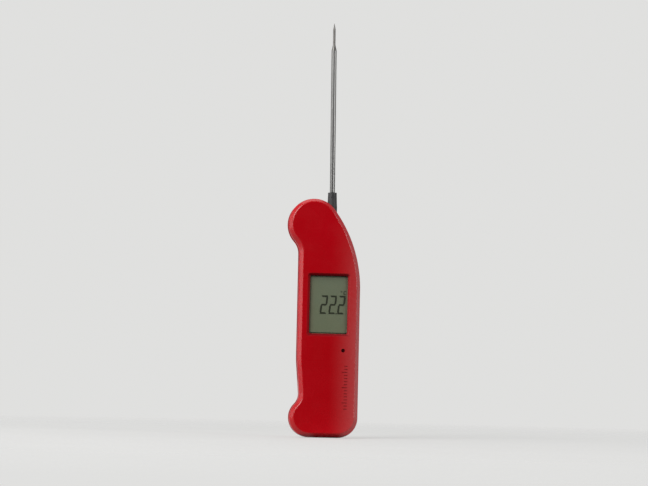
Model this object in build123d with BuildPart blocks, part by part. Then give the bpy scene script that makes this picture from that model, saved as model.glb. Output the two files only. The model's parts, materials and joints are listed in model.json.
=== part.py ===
from build123d import *
import math
import os

# Folding-probe pocket meat thermometer.
# Frame: millimetres, +Z up along the body, +X to the right seen from the front,
# the display side faces -Y. The origin is the centre of the foot end face:
# on the grip's centreline, at mid thickness (the parting plane), at the foot end.
# Places given as pairs are (X, Z).

os.makedirs("parts", exist_ok=True)

# ------------------------------------------------------------- driving sizes
# case outline
THICK = 19.0
HALF = THICK / 2
PIVOT = (-10.72, 136.6)         # probe pivot, its axis is parallel to Y
PIVOT_X, PIVOT_Z = PIVOT
HEAD_R = 16.4                   # round head about the pivot
SHOULDER_R = 86.0               # long back curve from the head to the right side
GRIP_X = 19.80                  # half width of the grip
CORNER_R = 12.65                # lower right corner
FOOT_R = 12.45                  # round foot at the lower left
FOOT_X = -11.62
LOW_A = (-18.108, 29.14)        # lower grip edge, from the foot neck ...
LOW_B = (-19.614, 47.16)        # ... to where it turns parallel to the grip
FOOT_NECK_R = 9.0               # hollow between foot and grip
HEAD_NECK_R = 11.6              # hollow between grip and head
GRIP_BLEND_R = 80.0

# case edges and walls
BEVEL_W, BEVEL_D = 2.4, 3.0     # edge bevel, across the face and down the side
FACE_UP = 0.5                   # the front face is shifted up, so its bevel is narrower at the head
RIM_R, SIDE_R = 0.9, 2.2        # rounding where the bevel meets the face and the side
SEAM_V = 0.25                   # half of the small V at the parting line
WALL = 2.2                      # side walls and dividers
FRONT_IN = 7.3                  # inner face of the front wall, |Y|
REAR_IN = 7.5                   # inner face of the rear wall, |Y|
BAY_TOP = PIVOT_Z - 7.1         # upper limit of the electronics bay

# screw bosses of the two case halves
BOSSES = [(8.5, 119.5), (14.0, 48.0), (13.0, 11.5), (-12.6, 7.5), (-12.8, 57.5), (-12.6, 112.0)]
BOSS_R = 3.0
BOSS_ROOT = 0.5                 # how far a boss runs into the wall behind it

# hub, its pocket and its bearing
HUB_R, HUB_T = 14.5, 7.0        # probe hub disc
SLOT_R, SLOT_H = 15.2, 3.75     # pocket for the hub, and half its width in Y
STOP_X = 15.4                   # open stop wall, from the pivot
CHANNEL_X = -7.9                # floor of the probe channel, from the pivot
CHANNEL_H = 2.6                 # half width of the probe channel
CHANNEL_END = 4.4               # Z of the channel's lower end
ARM_SLOT_LENGTH = 23.5          # wide slot for the collar, down from the pivot
TRUNNION_R, TRUNNION_Y = 5.0, 6.3
BORE_R, BORE_Y = 5.05, 6.5      # bearing bores of the trunnions
RELIEF_R0, RELIEF_R1 = 7.6, 13.6    # hollow ring round the bearing boss
LEAD_ANGLE = -67.3              # direction of the probe leads from the pivot, degrees from +X

# display opening and window
WIN_C = (-0.55, 85.0)
WIN_X, WIN_Z = WIN_C
WIN_W, WIN_H = 24.3, 37.2
WIN_BORDER_W, WIN_BORDER_D = 1.6, 1.2   # sloped border of the opening
GLASS_W, GLASS_H = 28.4, 41.2

# light sensor, circuit board, battery opening and rear label
SENSOR_C = (9.3, 55.8)
BOARD_FRONT, BOARD_REAR = -4.4, -3.2    # Y of the circuit board's faces
COVER_W, COVER_Z0, COVER_Z1 = 17.6, 7.7, 76.0
COVER_H = COVER_Z1 - COVER_Z0
COVER_C = (0, (COVER_Z0 + COVER_Z1) / 2)
OPEN_W, OPEN_Z0, OPEN_Z1 = 14.0, 9.5, 66.0
OPEN_H = OPEN_Z1 - OPEN_Z0
OPEN_C = (0, (OPEN_Z0 + OPEN_Z1) / 2)
COVER_IN = 7.6                  # Y of the floor of the cover's recess
COVER_SCREW = (0, 71.0)
LABEL_C = (0.0, 94.0)


# ------------------------------------------------------------- helpers
def save(builder, name):
    builder.part.label = name
    export_step(builder.part, f"parts/{name}.step")


def polar(centre, radius, degrees):
    a = math.radians(degrees)
    return (centre[0] + radius * math.cos(a), centre[1] + radius * math.sin(a))


def direction(start, end):
    """Angle of the line from start to end, in degrees."""
    return math.degrees(math.atan2(end[1] - start[1], end[0] - start[0]))


def arc_points(centre, radius, angle0, angle1):
    """Start, middle and end of an arc."""
    return [polar(centre, radius, a) for a in (angle0, (angle0 + angle1) / 2, angle1)]


def y_face(y):
    """Sketch plane at depth y: its x is X, its y is Z and its normal is -Y."""
    return Plane.XZ.offset(-y)


def discs(y, radius, *places, hole=None):
    """Sketch at depth y of equal discs, or of rings where a hole radius is given."""
    with BuildSketch(y_face(y)) as sketch:
        with Locations(*places):
            Circle(radius)
            if hole:
                Circle(hole, mode=Mode.SUBTRACT)
    return sketch.sketch


# ------------------------------------------------------------- outline geometry
shoulder_x = GRIP_X - SHOULDER_R
SHOULDER_C = (shoulder_x,
              PIVOT_Z - math.sqrt((SHOULDER_R - HEAD_R) ** 2 - (shoulder_x - PIVOT_X) ** 2))
CORNER_C = (GRIP_X - CORNER_R, CORNER_R)
FOOT_C = (FOOT_X, FOOT_R)
neck_x = -GRIP_X - HEAD_NECK_R
NECK_C = (neck_x, PIVOT_Z - math.sqrt((HEAD_R + HEAD_NECK_R) ** 2 - (neck_x - PIVOT_X) ** 2))

# lower grip line: its direction and its normal, which points out of the body, to -X
low_length = math.dist(LOW_A, LOW_B)
LOW_DIR = ((LOW_B[0] - LOW_A[0]) / low_length, (LOW_B[1] - LOW_A[1]) / low_length)
LOW_NORMAL = (-LOW_DIR[1], LOW_DIR[0])
LOW_ANGLE = math.degrees(math.atan2(LOW_NORMAL[1], LOW_NORMAL[0])) % 360

# foot neck: its centre slides parallel to the lower grip line until the arc touches the foot
neck_start = (LOW_A[0] + FOOT_NECK_R * LOW_NORMAL[0], LOW_A[1] + FOOT_NECK_R * LOW_NORMAL[1])
offset_x, offset_z = neck_start[0] - FOOT_C[0], neck_start[1] - FOOT_C[1]
along = offset_x * LOW_DIR[0] + offset_z * LOW_DIR[1]
excess = offset_x ** 2 + offset_z ** 2 - (FOOT_R + FOOT_NECK_R) ** 2
slide = -along + math.sqrt(along * along - excess)
FOOT_NECK_C = (neck_start[0] + slide * LOW_DIR[0], neck_start[1] + slide * LOW_DIR[1])

# blend between the lower grip line and the straight grip side
blend_tangent = GRIP_BLEND_R * math.tan(math.radians((LOW_ANGLE - 180) / 2))
low_reach = (-GRIP_X - LOW_A[0]) / LOW_DIR[0]
BLEND_C = (-GRIP_X + GRIP_BLEND_R, LOW_A[1] + low_reach * LOW_DIR[1] + blend_tangent)


def outline(inset=0.0, plane=Plane.XZ):
    """The case's outline, moved inwards by inset."""
    neck_angle = direction(PIVOT, NECK_C) % 360
    shoulder_angle = direction(SHOULDER_C, PIVOT)
    foot_angle = direction(FOOT_C, FOOT_NECK_C) % 360
    head = arc_points(PIVOT, HEAD_R - inset, neck_angle, shoulder_angle)
    shoulder = arc_points(SHOULDER_C, SHOULDER_R - inset, shoulder_angle, 0)
    corner = arc_points(CORNER_C, CORNER_R - inset, 0, -90)
    foot = arc_points(FOOT_C, FOOT_R - inset, 270, foot_angle)
    foot_neck = arc_points(FOOT_NECK_C, FOOT_NECK_R + inset, foot_angle - 180, LOW_ANGLE - 180)
    blend = arc_points(BLEND_C, GRIP_BLEND_R - inset, LOW_ANGLE, 180)
    neck = arc_points(NECK_C, HEAD_NECK_R + inset, 0, neck_angle - 180)
    with BuildSketch(plane) as sketch:
        with BuildLine():
            ThreePointArc(*head)
            ThreePointArc(*shoulder)
            Line(shoulder[2], corner[0])
            ThreePointArc(*corner)
            Line(corner[2], foot[0])
            ThreePointArc(*foot)
            ThreePointArc(*foot_neck)
            Line(foot_neck[2], blend[0])
            ThreePointArc(*blend)
            Line(blend[2], neck[0])
            ThreePointArc(*neck)
        make_face()
    return sketch.sketch


# The rectangles in the next three sketches are oversize: they run out past the case
# on every side that isn't placed by a named value.
def bay(grow=0.0, plane=Plane.XZ):
    """The electronics bay: the inset outline without the hub pocket and the probe channel."""
    with BuildSketch(plane) as sketch:
        add(outline(WALL, Plane.XY))
        with Locations(PIVOT):
            Circle(SLOT_R + WALL, mode=Mode.SUBTRACT)
        with Locations((PIVOT_X + CHANNEL_X + WALL, 80)):
            Rectangle(60, 240, align=(Align.MAX, Align.CENTER), mode=Mode.SUBTRACT)
        with Locations((0, BAY_TOP)):
            Rectangle(120, 60, align=(Align.CENTER, Align.MIN), mode=Mode.SUBTRACT)
        if grow:
            offset(amount=grow, kind=Kind.ARC)
    return sketch.sketch


def hub_pocket():
    """The wide slot: the hub's disc, the sweep above it and the collar's closed place."""
    with BuildSketch(Plane.XZ) as sketch:
        with Locations(PIVOT):
            Circle(SLOT_R)
        with Locations((PIVOT_X + STOP_X, PIVOT_Z)):
            Rectangle(60, 40, align=(Align.MAX, Align.MIN))
        with Locations((PIVOT_X + CHANNEL_X, PIVOT_Z)):
            Rectangle(60, ARM_SLOT_LENGTH, align=(Align.MAX, Align.MAX))
    return sketch.sketch


def channel():
    """The narrow probe channel down the left side, with a square lower end."""
    with BuildSketch(Plane.XZ) as sketch:
        with Locations((PIVOT_X + CHANNEL_X, CHANNEL_END)):
            Rectangle(60, PIVOT_Z - CHANNEL_END, align=(Align.MAX, Align.MIN))
    return sketch.sketch


# ------------------------------------------------------------- steps shared by the case halves
# side is the sign of the half's Y: -1 for the front case, 1 for the rear case
def soften_edges(case, side):
    """Round both edges of the bevel and chamfer the parting edge."""
    outer, inner = (0, -1) if side < 0 else (-1, 0)
    rim = case.faces().sort_by(Axis.Y)[outer]
    fillet(rim.edges(), radius=RIM_R)
    bevel_y = side * (HALF - BEVEL_D)
    fillet(case.edges().filter_by_position(Axis.Y, bevel_y - 0.05, bevel_y + 0.05), radius=SIDE_R)
    seam = case.faces().sort_by(Axis.Y)[inner]
    chamfer(seam.edges(), length=SEAM_V)


def hollow_out(side, wall_y):
    """Cut the bay, hub pocket, probe channel, bearing bore and the ring round its boss."""
    extrude(bay(), amount=-side * wall_y, mode=Mode.SUBTRACT)
    extrude(hub_pocket(), amount=-side * SLOT_H, mode=Mode.SUBTRACT)
    extrude(channel(), amount=-side * CHANNEL_H, mode=Mode.SUBTRACT)
    extrude(discs(0, BORE_R, PIVOT), amount=-side * BORE_Y, mode=Mode.SUBTRACT)
    extrude(discs(0, RELIEF_R1, PIVOT, hole=RELIEF_R0), amount=-side * wall_y, mode=Mode.SUBTRACT)


# ------------------------------------------------------------- front case
DUCT_Y, DUCT_LENGTH, DUCT_W = 6.3, 24, 3.0
GLASS_POCKET_GAP = 0.4          # the pocket is this much wider and higher than the window
SENSOR_HOLE_R = 1.2
BOARD_SHOULDER_R = 3.8          # step on each boss that carries the circuit board
INSERT_HOLE_R, INSERT_HOLE_DEPTH = 1.7, 5.2
SCALE_X, SCALE_Z0, SCALE_PITCH = 12.4, 18.45, 1.95  # right ends, lowest mark, spacing
SCALE_MARKS, SCALE_LONG, SCALE_SHORT = 15, 3.4, 2.0
SCALE_LINE, SCALE_DEPTH = 0.55, 0.25

with BuildPart() as front_case:
    extrude(outline(), amount=HALF - BEVEL_D)
    loft(sections=[outline(0, y_face(-HALF + BEVEL_D)).face(),
                   Pos(0, 0, FACE_UP) * outline(BEVEL_W, y_face(-HALF)).face()], ruled=True)
    soften_edges(front_case, side=-1)
    hollow_out(side=-1, wall_y=FRONT_IN)
    # duct for the probe leads, from the bearing to the bay
    with BuildSketch(y_face(-DUCT_Y)):
        with Locations(PIVOT):
            with Locations(Rotation(0, 0, LEAD_ANGLE)):
                Rectangle(DUCT_LENGTH, DUCT_W, align=(Align.MIN, Align.CENTER))
    extrude(amount=FRONT_IN - DUCT_Y, mode=Mode.SUBTRACT)
    # display opening: a pocket for the window from inside and a sloped border outside
    with BuildSketch(y_face(0)):
        with Locations(WIN_C):
            RectangleRounded(GLASS_W + GLASS_POCKET_GAP, GLASS_H + GLASS_POCKET_GAP, 1.2)
    extrude(amount=HALF - WIN_BORDER_D, mode=Mode.SUBTRACT)
    with BuildSketch(y_face(-HALF + WIN_BORDER_D)):
        with Locations(WIN_C):
            RectangleRounded(WIN_W, WIN_H, 0.9)
    with BuildSketch(y_face(-HALF)):
        with Locations(WIN_C):
            RectangleRounded(WIN_W + 2 * WIN_BORDER_W, WIN_H + 2 * WIN_BORDER_W, 2.1)
    loft(mode=Mode.SUBTRACT)
    # light sensor opening
    extrude(discs(0, SENSOR_HOLE_R, SENSOR_C), amount=HALF, mode=Mode.SUBTRACT)
    # screw bosses with a shoulder that carries the circuit board
    extrude(discs(0, BOSS_R, *BOSSES), amount=FRONT_IN + BOSS_ROOT)
    extrude(discs(BOARD_FRONT, BOARD_SHOULDER_R, *BOSSES), amount=FRONT_IN + BOARD_FRONT + 0.3)
    extrude(discs(0, INSERT_HOLE_R, *BOSSES), amount=INSERT_HOLE_DEPTH, mode=Mode.SUBTRACT)
    # engraved graduation in the lower right of the face: a plain scale with no figures
    with BuildSketch(y_face(-HALF + SCALE_DEPTH)):
        for i in range(SCALE_MARKS):
            mark_length = SCALE_LONG if i % 5 == 2 else SCALE_SHORT
            with Locations((SCALE_X, SCALE_Z0 + i * SCALE_PITCH)):
                Rectangle(mark_length, SCALE_LINE, align=(Align.MAX, Align.CENTER))
    extrude(amount=2 * SCALE_DEPTH, mode=Mode.SUBTRACT)
save(front_case, "front_case")

# ------------------------------------------------------------- rear case
FRAME_Y = 5.4                   # inner face of the frame round the battery opening
COVER_GROOVE_Y = 7.0            # inner end of the cover seal's groove
SCREW_HOLE_R, COUNTERBORE_R, COUNTERBORE_Y = 1.15, 2.1, 7.5
SEAL_IN, SEAL_OUT = 0.6, 1.6    # case seal's groove, outwards from the bay's edge
SEAL_DEPTH = 0.8
LABEL_DEPTH = 0.25

with BuildPart() as rear_case:
    extrude(outline(), amount=-HALF)
    face = rear_case.faces().sort_by(Axis.Y)[-1]
    chamfer(face.edges(), length=BEVEL_W, length2=BEVEL_D, reference=face)
    soften_edges(rear_case, side=1)
    hollow_out(side=1, wall_y=REAR_IN)
    extrude(discs(0, BOSS_R, *BOSSES), amount=-(REAR_IN + BOSS_ROOT))
    # frame round the battery opening, and the cover screw's boss
    with BuildSketch(y_face(FRAME_Y)):
        with Locations(COVER_C):
            RectangleRounded(COVER_W + 2.4, COVER_H + 2.4, 3.0)
    extrude(amount=-(REAR_IN + 0.5 - FRAME_Y))
    extrude(discs(2.0, 3.4, COVER_SCREW), amount=-4.0)
    # recess for the cover, the opening inside it and the cover seal's groove
    with BuildSketch(y_face(COVER_IN)):
        with Locations(COVER_C):
            RectangleRounded(COVER_W, COVER_H, 2.6)
    extrude(amount=-3, mode=Mode.SUBTRACT)
    with BuildSketch(y_face(5.0)):
        with Locations(OPEN_C):
            RectangleRounded(OPEN_W, OPEN_H, 1.5)
    extrude(amount=-4, mode=Mode.SUBTRACT)
    with BuildSketch(y_face(COVER_GROOVE_Y)):
        with Locations(OPEN_C):
            RectangleRounded(OPEN_W + 2.4, OPEN_H + 2.4, 2.4)
            RectangleRounded(OPEN_W + 0.4, OPEN_H + 0.4, 1.6, mode=Mode.SUBTRACT)
    extrude(amount=-1.0, mode=Mode.SUBTRACT)
    # hole for the cover screw's insert
    extrude(discs(3.2, 2.0, COVER_SCREW), amount=-6, mode=Mode.SUBTRACT)
    # case screw holes with counterbores
    extrude(discs(-0.1, SCREW_HOLE_R, *BOSSES), amount=-12, mode=Mode.SUBTRACT)
    extrude(discs(COUNTERBORE_Y, COUNTERBORE_R, *BOSSES), amount=-4, mode=Mode.SUBTRACT)
    # groove for the case seal
    with BuildSketch(y_face(0)):
        add(bay(SEAL_OUT, Plane.XY))
        add(bay(SEAL_IN, Plane.XY), mode=Mode.SUBTRACT)
    extrude(amount=-SEAL_DEPTH, mode=Mode.SUBTRACT)
    # recess for the plain rear label
    with BuildSketch(y_face(HALF - LABEL_DEPTH)):
        with Locations(LABEL_C):
            RectangleRounded(25.0, 22.0, 2.0)
    extrude(amount=-1, mode=Mode.SUBTRACT)
save(rear_case, "rear_case")

# ------------------------------------------------------------- seal and fasteners of the case
SEAL_GAP = 0.05                 # play on each flank of the seal
SCREW_TOP_Y, SCREW_HEAD_R, SCREW_HEAD_H = 8.8, 1.9, 1.28
SCREW_R, SCREW_LENGTH = 1.0, 12.0
CROSS_LENGTH, CROSS_W = 2.4, 0.62
INSERT_Y, INSERT_R, INSERT_BORE_R, INSERT_LENGTH = -0.6, 1.68, 1.03, 4.5

with BuildPart() as case_seal:
    with BuildSketch(y_face(0.03)):
        add(bay(SEAL_OUT - SEAL_GAP, Plane.XY))
        add(bay(SEAL_IN + SEAL_GAP, Plane.XY), mode=Mode.SUBTRACT)
    extrude(amount=-0.74)
save(case_seal, "case_seal")

with BuildPart() as case_screws:
    extrude(discs(SCREW_TOP_Y, SCREW_HEAD_R, *BOSSES), amount=SCREW_HEAD_H)
    fillet(case_screws.edges().group_by(Axis.Y)[-1], radius=0.45)
    extrude(discs(7.6, SCREW_R, *BOSSES), amount=SCREW_LENGTH)
    # cross recess
    with BuildSketch(y_face(SCREW_TOP_Y + 0.05)):
        with Locations(*BOSSES):
            Rectangle(CROSS_LENGTH, CROSS_W)
            Rectangle(CROSS_W, CROSS_LENGTH)
    extrude(amount=0.85, mode=Mode.SUBTRACT)
save(case_screws, "case_screws")

with BuildPart() as screw_inserts:
    extrude(discs(INSERT_Y, INSERT_R, *BOSSES, hole=INSERT_BORE_R), amount=INSERT_LENGTH)
    # knurl relief round the middle
    extrude(discs(-2.4, 2.0, *BOSSES, hole=1.5), amount=0.7, mode=Mode.SUBTRACT)
save(screw_inserts, "screw_inserts")

# ------------------------------------------------------------- display stack
LCD_W, LCD_H, LCD_GLASS_T = 27.2, 40.0, 0.8
LCD_REAR_Y = -5.6
LCD_SPLIT_Y = LCD_REAR_Y - LCD_GLASS_T  # where the two glasses meet
LCD_LEDGE = 2.2
DISPLAY_REAR_Y = -4.45          # rear face of the backlight and the carrier
CLIP_X, CLIP_Z = 14.9, 12       # carrier clips, from the display's centre

with BuildPart() as window_seal:
    with BuildSketch(y_face(-8.1)):
        with Locations(WIN_C):
            RectangleRounded(GLASS_W, GLASS_H, 1.0)
            RectangleRounded(WIN_W + 0.6, WIN_H + 0.6, 1.0, mode=Mode.SUBTRACT)
    extrude(amount=0.19)
save(window_seal, "window_seal")

with BuildPart() as display_window:
    with BuildSketch(y_face(-7.3)):
        with Locations(WIN_C):
            RectangleRounded(GLASS_W, GLASS_H, 1.0)
    extrude(amount=0.79)
    chamfer(display_window.edges().group_by(Axis.Y)[0], length=0.15)
save(display_window, "display_window")

with BuildPart() as lcd_panel:
    for glass_y in (LCD_SPLIT_Y, LCD_REAR_Y):
        with BuildSketch(y_face(glass_y)):
            with Locations(WIN_C):
                Rectangle(LCD_W, LCD_H)
        extrude(amount=LCD_GLASS_T)
    # the front glass is cut short, so the rear glass has a ledge at its lower end
    with BuildSketch(y_face(LCD_SPLIT_Y)):
        with Locations((WIN_X, WIN_Z - LCD_H / 2)):
            Rectangle(LCD_W, LCD_LEDGE, align=(Align.CENTER, Align.MIN))
    extrude(amount=LCD_GLASS_T, mode=Mode.SUBTRACT)
save(lcd_panel, "lcd_panel")

with BuildPart() as backlight_panel:
    with BuildSketch(y_face(DISPLAY_REAR_Y)):
        with Locations((WIN_X, WIN_Z + 1.2)):
            RectangleRounded(27.0, 37.4, 0.5)
    extrude(amount=1.1)
    chamfer(backlight_panel.edges().group_by(Axis.Y)[0], length=0.2)
save(backlight_panel, "backlight_panel")

with BuildPart() as lcd_contact_strip:
    with BuildSketch(y_face(-4.44)):
        with Locations((WIN_X, WIN_Z - 18.9)):
            RectangleRounded(24.0, 1.8, 0.4)
    extrude(amount=1.14)
save(lcd_contact_strip, "lcd_contact_strip")

with BuildPart() as display_carrier:
    with BuildSketch(y_face(DISPLAY_REAR_Y)):
        with Locations(WIN_C):
            RectangleRounded(29.6, 42.4, 0.8)
            Rectangle(27.5, 40.3, mode=Mode.SUBTRACT)
    extrude(amount=2.8)
    # four clips stand on the outside of the frame's long sides
    with BuildSketch(y_face(DISPLAY_REAR_Y)):
        with Locations((WIN_X - CLIP_X, WIN_Z - CLIP_Z), (WIN_X - CLIP_X, WIN_Z + CLIP_Z),
                       (WIN_X + CLIP_X, WIN_Z - CLIP_Z), (WIN_X + CLIP_X, WIN_Z + CLIP_Z)):
            Rectangle(0.6, 3.0)
    extrude(amount=1.8)
save(display_carrier, "display_carrier")

# ------------------------------------------------------------- circuit board
BOARD_OUTLINE = [(-15.7, 10.0), (9.3, 10.0), (16.6, 15.4), (16.6, 98.0), (13.0, 114.0),
                 (-9.7, 114.0), (-15.7, 107.0)]
# plated holes for the battery contacts' feet
CONTACT_HOLES = [(-2.6, 11.0), (2.6, 11.0), (-2.6, 58.9), (2.6, 58.9)]

with BuildPart() as circuit_board:
    with BuildSketch(y_face(BOARD_REAR)):
        with BuildLine():
            Polyline(*BOARD_OUTLINE, close=True)
        make_face()
        with Locations(*BOSSES):
            Circle(BOSS_R + 0.3, mode=Mode.SUBTRACT)
        with Locations(*CONTACT_HOLES):
            Circle(0.45, mode=Mode.SUBTRACT)
    extrude(amount=BOARD_REAR - BOARD_FRONT)
save(circuit_board, "circuit_board")

# ------------------------------------------------------------- board components
# those on the rear face stand towards +Y, those on the front face towards -Y
PIN_PITCH, PIN_W, PIN_LENGTH, PIN_T = 0.9, 0.4, 1.3, 0.3
PIN_ROW_OUT = 1.2               # the pin rows lie this much further apart than the body is wide
CHIP_GAP = 0.12                 # under the chip's body
PASSIVES = [(7.5, 88), (7.5, 91), (7.5, 94), (7.5, 97),
            (-9.5, 88), (-9.5, 91), (-9.5, 94), (-9.5, 97),
            (5.5, 106), (5.5, 109), (-6.5, 104), (-6.5, 107), (-6.5, 110),
            (11.0, 84), (11.0, 80), (-11.5, 82)]


def make_chip(name, place, width, height, thickness, pins, four_sided=False):
    """Chip on the board's rear face, with pins above and below, and at the sides if four_sided."""
    with BuildPart() as chip:
        with BuildSketch(y_face(BOARD_REAR + CHIP_GAP)):
            with Locations(place):
                RectangleRounded(width, height, 0.3)
        extrude(amount=-thickness)
        with BuildSketch(y_face(BOARD_REAR)):
            with Locations(place):
                with GridLocations(PIN_PITCH, height + PIN_ROW_OUT, pins, 2):
                    Rectangle(PIN_W, PIN_LENGTH)
                if four_sided:
                    with GridLocations(width + PIN_ROW_OUT, PIN_PITCH, 2, pins):
                        Rectangle(PIN_LENGTH, PIN_W)
        extrude(amount=-PIN_T)
    save(chip, name)


def make_sensor(name, place, width, height):
    """Small package on the board's front face."""
    with BuildPart() as sensor:
        with BuildSketch(y_face(BOARD_FRONT)):
            with Locations(place):
                RectangleRounded(width, height, 0.15)
        extrude(amount=1.1)
    save(sensor, name)


make_chip("microcontroller", (-1.0, 92.0), width=10.0, height=10.0, thickness=1.3,
          pins=10, four_sided=True)
make_chip("converter_chip", (-1.0, 107.5), width=6.2, height=5.0, thickness=1.1, pins=6)

with BuildPart() as board_passives:
    with BuildSketch(y_face(BOARD_REAR)):
        with Locations(*PASSIVES):
            Rectangle(1.9, 1.1)
    extrude(amount=-0.7)
    # one larger part with rounded corners
    with BuildSketch(y_face(BOARD_REAR)):
        with Locations((10.6, 98.0)):
            RectangleRounded(3.2, 7.0, 1.0)
    extrude(amount=-2.4)
save(board_passives, "board_passives")

make_sensor("opening_sensor", (-7.2, 111.6), width=2.9, height=1.6)
make_sensor("light_sensor", SENSOR_C, width=3.2, height=2.6)

with BuildPart() as sensor_lens:
    extrude(discs(-5.7, 1.15, SENSOR_C), amount=3.2)
    extrude(discs(-6.3, 2.1, SENSOR_C), amount=0.98)
save(sensor_lens, "sensor_lens")

# ------------------------------------------------------------- probe leads
# two wires in the duct, from the bearing to a connector in front of the board
LEAD_Y = -6.82
LEAD_DIR = Vector(math.cos(math.radians(LEAD_ANGLE)), 0, math.sin(math.radians(LEAD_ANGLE)))
LEAD_PLANE = Plane(origin=(PIVOT_X, LEAD_Y, PIVOT_Z), x_dir=(0, 1, 0), z_dir=LEAD_DIR)
LEAD_START, LEAD_LENGTH, LEAD_R, LEAD_SPREAD = 0.4, 23.9, 0.36, 0.6
CONNECTOR_START = LEAD_START + LEAD_LENGTH + 0.05
CONNECTOR_W = 5.2

with BuildPart() as probe_leads:
    with BuildSketch(LEAD_PLANE.offset(LEAD_START)):
        with Locations((0, -LEAD_SPREAD), (0, LEAD_SPREAD)):
            Circle(LEAD_R)
    extrude(amount=LEAD_LENGTH)
save(probe_leads, "probe_leads")

with BuildPart() as lead_connector:
    with BuildSketch(LEAD_PLANE.offset(CONNECTOR_START)):
        Rectangle(0.86, CONNECTOR_W)
        with Locations((1.2, 0)):
            Rectangle(2.4, CONNECTOR_W)
    extrude(amount=3.2)
    fillet(lead_connector.edges().filter_by(Axis.Y), radius=0.3)
save(lead_connector, "lead_connector")

# ------------------------------------------------------------- battery and contacts
CELL_R, CELL_L, CELL_Y, CELL_Z0 = 5.25, 43.6, 2.3, 12.6     # AAA cell
NUB_R, NUB_H = 1.9, 0.9
CELL_TOP = CELL_Z0 + CELL_L + NUB_H
CONTACT_DEPTH, CONTACT_T = 8.8, 0.35
CONTACT_Y = BOARD_REAR + 0.02
NEGATIVE_Z = 10.25
SPRING_Z, SPRING_R, SPRING_WIRE_R = 10.87, 2.6, 0.24
SPRING_PITCH, SPRING_TURNS = 0.72, 2

with BuildPart() as battery_cell:
    with BuildSketch(Plane.XY.offset(CELL_Z0)):
        with Locations((0, CELL_Y)):
            Circle(CELL_R)
    extrude(amount=CELL_L)
    fillet(battery_cell.edges().filter_by(GeomType.CIRCLE), radius=0.5)
    with BuildSketch(Plane.XY.offset(CELL_Z0 + CELL_L)):
        with Locations((0, CELL_Y)):
            Circle(NUB_R)
    extrude(amount=NUB_H)
save(battery_cell, "battery_cell")


def make_contact(name, z, width, flange_t, flange_h):
    """Level contact plate at height z, with an upright flange along the board."""
    with BuildPart() as contact:
        with BuildSketch(Plane.XY.offset(z)):
            with Locations((0, CONTACT_Y)):
                Rectangle(width, CONTACT_DEPTH, align=(Align.CENTER, Align.MIN))
        extrude(amount=CONTACT_T)
        with BuildSketch(Plane.XY.offset(z)):
            with Locations((0, CONTACT_Y)):
                Rectangle(width, flange_t, align=(Align.CENTER, Align.MIN))
        extrude(amount=flange_h)
    save(contact, name)


make_contact("positive_contact", CELL_TOP + 0.03, width=7.4, flange_t=0.35, flange_h=2.8)
make_contact("negative_contact", NEGATIVE_Z, width=8.4, flange_t=0.22, flange_h=2.0)

with BuildPart() as contact_spring:
    with BuildLine() as coil:
        Helix(pitch=SPRING_PITCH, height=SPRING_TURNS * SPRING_PITCH, radius=SPRING_R,
              center=(0, CELL_Y, SPRING_Z))
    with BuildSketch(Plane(origin=coil.line @ 0, z_dir=coil.line % 0)):
        Circle(SPRING_WIRE_R)
    sweep()
save(contact_spring, "contact_spring")

# ------------------------------------------------------------- unit switch
SWITCH_X, SWITCH_Z = 0, 62.8
SLIDER_X = SWITCH_X - 1.0       # the slider stands left of the middle

with BuildPart() as unit_switch_housing:
    with BuildSketch(y_face(BOARD_REAR)):
        with Locations((SWITCH_X, SWITCH_Z)):
            Rectangle(8.0, 3.6)
    extrude(amount=-3.2)
    with BuildSketch(y_face(BOARD_REAR + 1.4)):
        with Locations((SWITCH_X, SWITCH_Z)):
            Rectangle(5.0, 1.5)
    extrude(amount=-3.0, mode=Mode.SUBTRACT)
    fillet(unit_switch_housing.edges().filter_by(Axis.Y).group_by(SortBy.LENGTH)[-1], radius=0.25)
save(unit_switch_housing, "unit_switch_housing")

with BuildPart() as unit_switch_slider:
    # wide base, then the narrower knob; columns: width, height above the board-side face
    for slider_w, slider_h in ((2.6, 1.6), (1.6, 3.3)):
        with BuildSketch(y_face(BOARD_REAR + 1.45)):
            with Locations((SLIDER_X, SWITCH_Z)):
                Rectangle(slider_w, 1.4)
        extrude(amount=-slider_h)
save(unit_switch_slider, "unit_switch_slider")

# ------------------------------------------------------------- battery cover
COVER_PLAY = 0.3                # the cover and its rim are this much smaller than their places
RIM_Y, RIM_DEPTH, RIM_WALL = 6.1, 1.7, 1.0
COVER_FACE_Y = COVER_IN + 0.04  # inner face of the cover plate
FINGER_GROOVES = [(0, 13.0), (0, 15.2), (0, 17.4)]

with BuildPart() as battery_cover:
    with BuildSketch(y_face(COVER_FACE_Y)):
        with Locations(COVER_C):
            RectangleRounded(COVER_W - COVER_PLAY, COVER_H - COVER_PLAY, 2.45)
    extrude(amount=-(HALF - COVER_FACE_Y))
    fillet(battery_cover.edges().group_by(Axis.Y)[-1], radius=0.3)
    # plug rim that enters the opening
    rim_w, rim_h = OPEN_W - COVER_PLAY, OPEN_H - COVER_PLAY
    with BuildSketch(y_face(RIM_Y)):
        with Locations(OPEN_C):
            RectangleRounded(rim_w, rim_h, 1.35)
            RectangleRounded(rim_w - 2 * RIM_WALL, rim_h - 2 * RIM_WALL, 0.6, mode=Mode.SUBTRACT)
    extrude(amount=-RIM_DEPTH)
    # screw hole with its counterbore, and three finger grooves
    extrude(discs(7.0, 1.35, COVER_SCREW), amount=-4, mode=Mode.SUBTRACT)
    extrude(discs(8.4, 2.45, COVER_SCREW), amount=-2, mode=Mode.SUBTRACT)
    with BuildSketch(y_face(HALF - 0.4)):
        with Locations(*FINGER_GROOVES):
            SlotOverall(9.0, 1.1)
    extrude(amount=-1, mode=Mode.SUBTRACT)
save(battery_cover, "battery_cover")

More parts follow.
